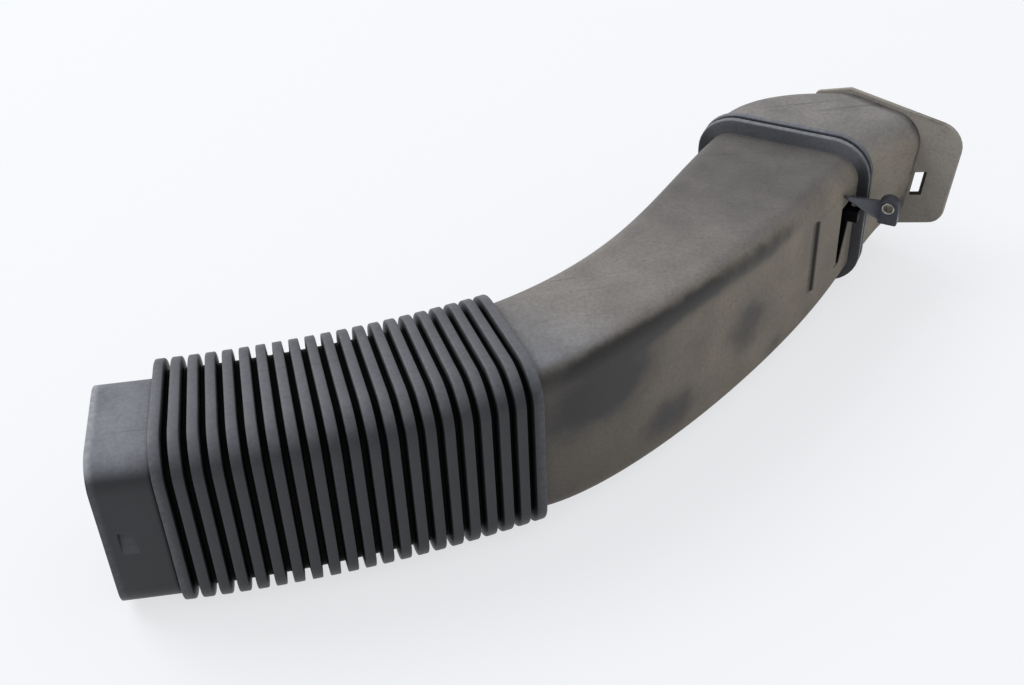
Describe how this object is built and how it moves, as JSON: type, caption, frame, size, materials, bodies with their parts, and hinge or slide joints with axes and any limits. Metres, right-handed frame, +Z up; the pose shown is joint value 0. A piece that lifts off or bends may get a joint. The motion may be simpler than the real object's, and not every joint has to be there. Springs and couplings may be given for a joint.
{
  "type": "air intake duct",
  "caption": "Black moulded air intake duct: short latched spigot, straight bellows, smooth bend with a ridged collar, scoop mouth with a flat front plate, and a side bracket with a steel bush.",
  "frame": {"origin": "centre of the rear spigot's open end", "axes": "+X from the rear spigot into the bellows, +Z up with the part lying on its bellows folds and collar, +Y to the inner side of the bend"},
  "size_m": [0.5791, 0.3354, 0.127],
  "materials": {
    "duct_plastic": "black blow-moulded polypropylene, dusty and scuffed",
    "mouth_plastic": "black moulded polypropylene, dusty",
    "bracket_plastic": "black moulded plastic, clean",
    "bush_steel": "plain turned steel, dull"
  },
  "bodies": {
    "root": {"bellows_duct": "duct_plastic", "inlet_mouth": "mouth_plastic", "fixing_bracket": "bracket_plastic", "bracket_bush": "bush_steel"}
  },
  "joints": []
}
